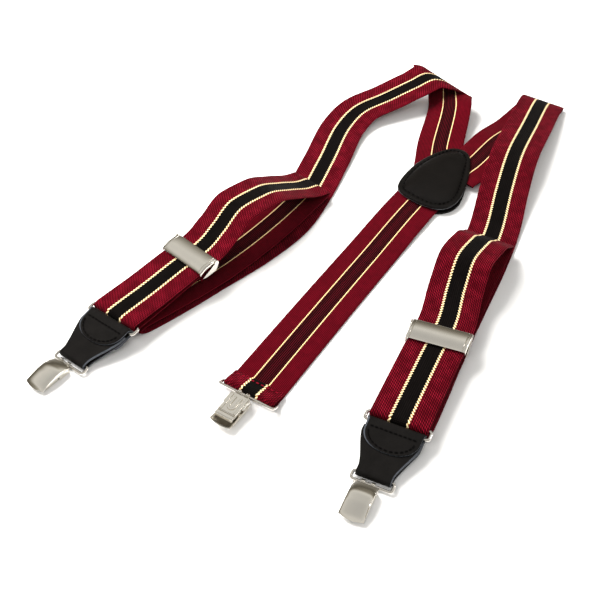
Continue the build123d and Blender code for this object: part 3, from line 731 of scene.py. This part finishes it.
def make_yoke():
    """Upper patch: rolled rim, stitched groove and a low dome, drawn down to the lower patch."""
    count = 160
    middle = Vector(YOKE_MIDDLE)
    rim = [outline_point(i / count) for i in range(count)]
    inwards = []
    for i in range(count):
        heading = (rim[(i + 1) % count] - rim[i - 1]).normalized()
        inwards.append(Vector((-heading.y, heading.x)))
        if inwards[-1].dot(middle - rim[i]) < 0:
            inwards[-1] *= -1
    # distance in from the rim, height above the rim's top
    section = [(0.55, -PATCH_EDGE), (0.10, -PATCH_EDGE + 0.2), (0.0, -PATCH_EDGE / 2), (0.12, -0.25),
               (0.5, -0.04), (1.2, 0.0), (2.4, 0.02), (3.0, -0.02), (3.5, -0.24), (4.0, -0.34), (4.5, -0.24),
               (5.0, 0.02),
               (6.2, 0.34), (8.0, 0.72)]
    # share of the way to the middle, height
    inner = [(0.22, 1.02), (0.45, 1.26), (0.68, 1.40), (0.88, 1.45)]
    held = Vector(YOKE_HELD_AT)
    points, faces = [], []

    def droop(spot):
        return YOKE_DROOP * (1.0 - math.exp(-((spot - held).length / 20.0) ** 2))

    def add_ring(places, lift, share):
        for spot in places:
            points.append(placed(spot.x, spot.y, PATCH_TOP + lift - droop(spot) * share))

    for distance, lift in section:
        add_ring([rim[i] + inwards[i] * distance for i in range(count)], lift, math.exp(-distance / 3.0))
    last = [rim[i] + inwards[i] * section[-1][0] for i in range(count)]
    for share, lift in inner:
        add_ring([spot.lerp(middle, share) for spot in last], lift, 0.0)
    points.append(placed(middle.x, middle.y, PATCH_TOP + 1.46))
    under = len(points)
    add_ring([rim[i] + inwards[i] * 4.0 for i in range(count)], -PATCH_EDGE + 0.1, 0.5)
    points.append(placed(middle.x, middle.y, PATCH_TOP - PATCH_EDGE + 0.1))
    rings = len(section) + len(inner)
    slots = []
    for r in range(rings - 1):
        for i in range(count):
            n = (i + 1) % count
            faces.append((r * count + i, r * count + n, (r + 1) * count + n, (r + 1) * count + i))
            # The two lowest bands, the rim's cut edge, take the painted edge highlight; the rest is yoke
            # leather.
            slots.append(1 if r < 2 else 0)
    peak = rings * count
    for i in range(count):
        n = (i + 1) % count
        faces.append(((rings - 1) * count + i, (rings - 1) * count + n, peak))
        faces.append((i, under + i, under + n, n))
        faces.append((under + i, under + count, under + n))
        slots += [0, 0, 0]
    piece = add_mesh("yoke_upper_leather", points, faces, [PATENT, EDGE_HIGHLIGHT], slots, crease=50.0)
    face_outwards(piece)
    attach(piece, "root")
    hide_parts("yoke_inner_patch")


# ---------------------------------------------------------------- clip covers


def hinge_frame(side):
    """The clip's own frame: x along the pin, y outwards, z out of its cover; origin on the bail's bar."""
    hinge = JOINTS[f"{side}_cover_hinge"]
    x = Vector(hinge["axis"])
    z = Vector((0, 0, -1 if side == "back" else 1))
    y = z.cross(x)
    pin = Vector(hinge["pos_m"]) / MM
    return pin - y * PIN_Y - z * PIN_Z, x, y, z, pin


def along_curve(stops, y):
    """Value at y on the straight runs through (y, value) stops."""
    for (y0, v0), (y1, v1) in zip(stops, stops[1:]):
        if y <= y1:
            s = max(0.0, (y - y0) / (y1 - y0))
            return v0 + (v1 - v0) * s
    return stops[-1][1]


def round_off(stops, y, reach=1.4):
    """The same curve with its corners rounded over the reach."""
    return sum(along_curve(stops, y + reach * k / 3) for k in range(-3, 4)) / 7


def make_cover(side):
    """Bowed nickel cover: domed top, rounded tip, turned-down sides and a barrel on the pin."""
    origin, x, y, z, pin = hinge_frame(side)
    heel, tip, sheet = 2.3, 25.3, 0.7
    # distance out from the bail, then the height of the top, half the width and the height of the sides' rim
    crown = [(1.0, 2.7), (5.0, 4.1), (9.5, 5.05), (16.0, 4.5), (21.5, 3.0), (24.2, 1.9), (26.0, 0.1)]
    plan = [(1.0, 6.95), (8.0, 7.05), (26.0, 7.30)]
    skirt = [(2.0, 1.5), (6.0, 0.3), (10.0, 0.9), (17.0, 1.25), (22.0, 0.9), (26.0, 0.0)]
    columns, rows = 22, 34
    points, faces = [], []
    for r in range(rows + 1):
        t = r / rows
        for c in range(-columns // 2 - 3, columns // 2 + 4):
            u = max(-1.0, min(1.0, c / (columns / 2)))
            down = heel + t * (tip - 1.5 * u * u - heel)
            out = (round_off(plan, down) - 0.15) * u
            dome = 0.62 * u * u + 0.35 * abs(u) ** 6
            facet = max(0.0, t - 0.30 * u - 0.55)       # slants across the cover's outer half
            top = round_off(crown, down) - dome - 0.9 * facet * facet
            beyond = abs(c) - columns // 2              # rows of the turned-down side, 1 to 3
            if beyond > 0:
                low = min(round_off(skirt, down), top - 0.35)
                top += (low - top) * (0.12, 0.55, 1.0)[beyond - 1]
                out += math.copysign(0.12, u)
            points.append(origin + x * out + y * down + z * top)
    wide = columns + 7
    for r in range(rows):
        for c in range(wide - 1):
            faces.append((r * wide + c, r * wide + c + 1, (r + 1) * wide + c + 1, (r + 1) * wide + c))
    cover = add_mesh(f"{side}_cover_shell", points, faces, [NICKEL], [0] * len(faces), crease=50.0)
    if (points[1] - points[0]).cross(points[wide] - points[0]).dot(x) > 0:
        cover.data.flip_normals()
    shell = cover.modifiers.new("sheet", "SOLIDIFY")
    shell.thickness = sheet * MM
    shell.offset = -1.0
    bpy.ops.object.modifier_apply(modifier=shell.name)
    bpy.ops.object.select_all(action="DESELECT")
    bpy.ops.mesh.primitive_cylinder_add(vertices=32, radius=1.45 * MM, depth=11.2 * MM, location=pin * MM,
                                        rotation=x.to_track_quat("Z", "Y").to_euler())
    barrel = bpy.context.object
    barrel.data.materials.append(NICKEL)
    bpy.ops.object.transform_apply(location=True, rotation=True, scale=True)
    cover.select_set(True)
    bpy.context.view_layer.objects.active = cover
    bpy.ops.object.join()
    bpy.ops.object.shade_smooth_by_angle(angle=math.radians(45))
    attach(cover, f"{side}_cover")
    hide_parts(f"{side}_clip_cover")


# ---------------------------------------------------------------- lower jaws of the clips


def prism(name, outline, origin, x, y, z, start, end):
    """Flat plate: an outline of (y, z) points, from start to end along x."""
    points = [origin + x * at + y * a + z * b for at in (start, end) for a, b in outline]
    n = len(outline)
    faces = [tuple(range(n)), tuple(range(2 * n - 1, n - 1, -1))]
    faces += [(i, i + n, (i + 1) % n + n, (i + 1) % n) for i in range(n)]
    return face_outwards(add_mesh(name, points, faces, [NICKEL], [0] * len(faces)))


def soften(piece, width, segments=3):
    """Rolled edges, as on stamped sheet."""
    bpy.context.view_layer.objects.active = piece
    rounding = piece.modifiers.new("edges", "BEVEL")
    rounding.width = width * MM
    rounding.segments = segments
    rounding.limit_method = "ANGLE"
    bpy.ops.object.modifier_apply(modifier=rounding.name)
    return piece


def rod(name, route, radius, origin, x, y, z):
    """Round bead along (x, y, z) points of the local frame, made a mesh."""
    curve = bpy.data.curves.new(name, "CURVE")
    curve.dimensions = "3D"
    curve.bevel_depth = radius * MM
    curve.bevel_resolution = 3
    curve.use_fill_caps = True
    line = curve.splines.new("POLY")
    line.points.add(len(route) - 1)
    for point, (a, b, c) in zip(line.points, route):
        point.co = (*((origin + x * a + y * b + z * c) * MM), 1.0)
    bead = bpy.data.objects.new(name, curve)
    bpy.context.scene.collection.objects.link(bead)
    bpy.ops.object.select_all(action="DESELECT")
    bead.select_set(True)
    bpy.context.view_layer.objects.active = bead
    bpy.ops.object.convert(target="MESH")
    bead = bpy.context.object
    bead.data.materials.clear()
    bead.data.materials.append(NICKEL)
    bpy.ops.object.shade_smooth_by_angle(angle=math.radians(50))
    return bead


def join(name, parts):
    bpy.ops.object.select_all(action="DESELECT")
    for part in parts:
        part.select_set(True)
    bpy.context.view_layer.objects.active = parts[0]
    bpy.ops.object.join()
    parts[0].name = name
    return parts[0]


def make_jaw(side):
    """Stamped lower jaw: ears, knuckles, a pressed U on its outer face and a knurled front wall."""
    origin, x, y, z, pin = hinge_frame(side)
    under, front, half, sheet = -1.8, 20.3, 6.0, 0.75       # outer face, front wall, half width, thickness
    parts = []
    inside = front - sheet
    plate = [(2.2, under), (front - 0.5, under), (front, under + 0.5), (front, 0.9), (inside, 0.9),
             (inside, under + sheet), (2.2, under + sheet)]
    parts.append(soften(prism("plate", plate, origin, x, y, z, -half, half), 0.22))
    ear_r, knuckle_r = 1.95, 1.45
    for end in (-1, 1):
        ear = [(2.6, under), (10.8, under), (10.8, under + 0.8)]
        ear += [(PIN_Y + ear_r * math.cos(a), PIN_Z + ear_r * math.sin(a))
                for a in [math.radians(10 + 16 * k) for k in range(11)]]
        ear.append((2.6, under + 0.8))
        near, far = end * (half - 0.05), end * (half + 0.75)
        parts.append(soften(prism("ear", ear, origin, x, y, z, min(near, far), max(near, far)), 0.15, 2))
        rail = [(11.0, under - 0.05), (front - 1.0, under - 0.05), (front - 1.0, under + 1.3),
                (11.0, under + 1.9)]
        near, far = end * (half - 0.7), end * half
        parts.append(soften(prism("rail", rail, origin, x, y, z, min(near, far), max(near, far)), 0.15, 2))
        loop = []
        for k in range(13):
            turn = math.radians(150 - 25 * k)
            loop.append((end * 2.9, knuckle_r * math.cos(turn), knuckle_r * math.sin(turn)))
        loop.append((end * 2.9, 3.2, under + 0.4))
        for shift in (-0.75, 0.0, 0.75):
            bent = [(a + shift, b, c) for a, b, c in loop]
            parts.append(rod("knuckle", bent, 0.42, origin, x, y, z))
    pressed = []
    for way, radius in ((-1, 2.7), (1, 1.15)):
        bend = [math.radians(15 * k) for k in range(13)]
        pressed += [(way * radius, 4.6)]
        pressed += [(way * radius * math.cos(a), 12.0 + radius * math.sin(a)) for a in bend]
        pressed += [(-way * radius, 4.6)]
    parts.append(soften(prism("pressed_u", pressed, origin, z, x, y, under - 0.42, under + 0.2), 0.18, 2))
    for end in (-1, 1):
        border = [(end * 4.0, 3.4), (end * 5.9, 3.4), (end * 5.9, 16.4), (end * 4.0, 16.4)]
        parts.append(soften(prism("border", border, origin, z, x, y, under - 0.36, under + 0.2), 0.18, 2))
    ridge = [(end * (half - 0.3), 17.2, under - 0.05) for end in (-1, 1)]
    parts.append(rod("lip_ridge", ridge, 0.55, origin, x, y, z))
    lip = [(end * (half - 0.1), front - 0.2, under + 0.15) for end in (-1, 1)]
    parts.append(rod("lip_edge", lip, 0.45, origin, x, y, z))
    for k in range(15):
        left = -half + 0.55 + 0.74 * k
        slant = [(left, front, under + 0.7), (left + 0.55, front, 0.75)]
        parts.append(rod("knurl", slant, 0.17, origin, x, y, z))
    jaw = join(f"{side}_jaw", parts)
    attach(jaw, f"{side}_clip")
    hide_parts(f"{side}_clip_body")


# ---------------------------------------------------------------- adjusters


def make_plate(side, lean, run, origin):
    """Bowed adjuster cover with a fold line near each end and turned-down end caps."""
    x = width_line(lean)
    z = x.cross(run)
    length, half = 15.0, 18.75
    # one end in section: turned-down cap, narrow strip and fold line; distance from the middle, height
    cap = [(-half, -2.4), (-half, -1.35), (-half + 0.12, -0.75), (-18.3, -0.30), (-17.6, -0.12),
           (-16.9, -0.10), (-16.7, -0.34), (-16.4, -0.36), (-16.2, -0.02), (-15.6, 0.0)]
    level = [(-15.6 + 31.2 * k / 12, 0.0) for k in range(1, 12)]
    shape = cap + level + [(-a, b) for a, b in reversed(cap)]
    rows = 22
    points, faces = [], []
    for r in range(rows + 1):
        t = 2 * r / rows - 1
        down = t * length / 2
        crown = 4.35 - 2.2 * (max(0.0, -t) ** 2.2) - 0.75 * max(0.0, t) ** 2
        cut = 0.62 + 0.38 * min(1.0, abs(t - 1) * 1.2)      # the caps get shallower towards the pin
        for a, b in shape:
            points.append(origin + x * a + run * down + z * (crown + (b if b > -0.5 else b * cut)))
    wide = len(shape)
    for r in range(rows):
        for c in range(wide - 1):
            faces.append((r * wide + c, r * wide + c + 1, (r + 1) * wide + c + 1, (r + 1) * wide + c))
    plate = add_mesh(f"{side}_adjuster_plate", points, faces, [NICKEL], [0] * len(faces), crease=35.0)
    shell = plate.modifiers.new("sheet", "SOLIDIFY")
    shell.thickness = 0.6 * MM
    shell.offset = -1.0
    bpy.ops.object.modifier_apply(modifier=shell.name)
    soften(plate, 0.12, 2)
    pin = [(-half + 0.7, 6.5, 1.9), (half - 0.7, 6.5, 1.9)]
    bar = [(3.0, 3.7), (3.15, 1.25), (3.75, 1.45), (4.2, 3.6)]      # pressed down on the webbing
    tooth = prism("tooth", bar, origin, x, run, z, -16.8, 16.8)
    barrel = rod("barrel", pin, 1.05, origin, x, run, z)
    plate = join(f"{side}_adjuster_plate", [plate, tooth, barrel])
    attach(plate, f"{side}_adjuster_lever")
    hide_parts(f"{side}_adjuster_cover")


# ---------------------------------------------------------------- everything made


def paint_frame():
    """Finishes for the metal, thread and leather that the frame already holds."""
    finishes = [("stitches", BLACK_THREAD), ("pad", GRIP), ("patch", LEATHER), ("ring", WIRE), ("bail", WIRE),
                ("pin", WIRE), ("clip", NICKEL), ("adjuster", NICKEL)]
    for name, node in frame["nodes"].items():
        for word, paint in finishes:
            if word in name:
                node.data.materials.clear()
                node.data.materials.append(RED_THREAD if name == "back_hem_stitches" else paint)
                break


def make_front(side, ring, tab_turn, route, spot):
    """One front strap with its sewn tail and its leather tab."""
    bar = placed(*ring)
    loop = ring_turn(bar, tab_turn, RING_WIRE_R, TAIL_LAP)
    strap = webbing(f"{side}_webbing", loop + knots(route), 1, f"{side}_front_strap")
    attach(strap, "root")
    run = (placed(*route[2][:3]) - placed(*route[0][:3])).normalized()
    lean = (route[0][3] + route[2][3]) / 2
    up = width_line(lean).cross(run)
    origin = placed(*spot)
    bend = bar - direction(tab_turn) * 14.0     # where the tail starts to follow the strap
    path = [loop[0], (bend.x, bend.y, loop[0][2], tab_turn, 0)]
    for along, lift in TAIL_STOPS:
        stop = origin + run * along + up * lift
        path.append((*stop, lean, 0))
    tail = webbing(f"{side}_tail_webbing", path, -1, f"{side}_strap_tail")
    tuple(c * MM for c in path[1][:3])
    tuple(c * MM for c in path[2][:3])
    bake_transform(tail)
    make_plate(side, lean, run, origin)
    make_tab(side)


def make_back():
    bar = placed(*BACK_BAR)
    out = direction(BACK_TURN)
    tip, neck = bar - out * BACK_FLAP, bar - out * 6
    half_turn = ring_turn(bar, BACK_TURN, BAIL_WIRE_R, 0)[1:]
    flap = [(tip.x, tip.y, BACK_FLAP_Z[0], BACK_TURN, 0), (neck.x, neck.y, BACK_FLAP_Z[1], BACK_TURN, 0)]
    strap = webbing("back_webbing", flap + half_turn[::-1] + knots(BACK_ROUTE), -1, "back_strap",
                    hem_length=BACK_FLAP + 3.0)
    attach(strap, "root")


def make_floor():
    bpy.ops.object.select_all(action="DESELECT")
    bpy.ops.mesh.primitive_plane_add(size=6.0, location=(0, 0, 0))
    floor = bpy.context.object
    floor.name = "floor"
    floor.data.materials.append(floor_finish())


make_camera()
make_lights()
make_world()
bpy.context.scene.view_settings.view_transform = "Standard"
make_floor()
paint_frame()
make_front("left", LEFT_RING, LEFT_TAB_TURN, LEFT_ROUTE, LEFT_ADJUSTER)
make_front("right", RIGHT_RING, RIGHT_TAB_TURN, RIGHT_ROUTE, RIGHT_ADJUSTER)
make_back()
make_yoke()
for side in ("left", "right", "back"):
    make_cover(side)
    make_jaw(side)
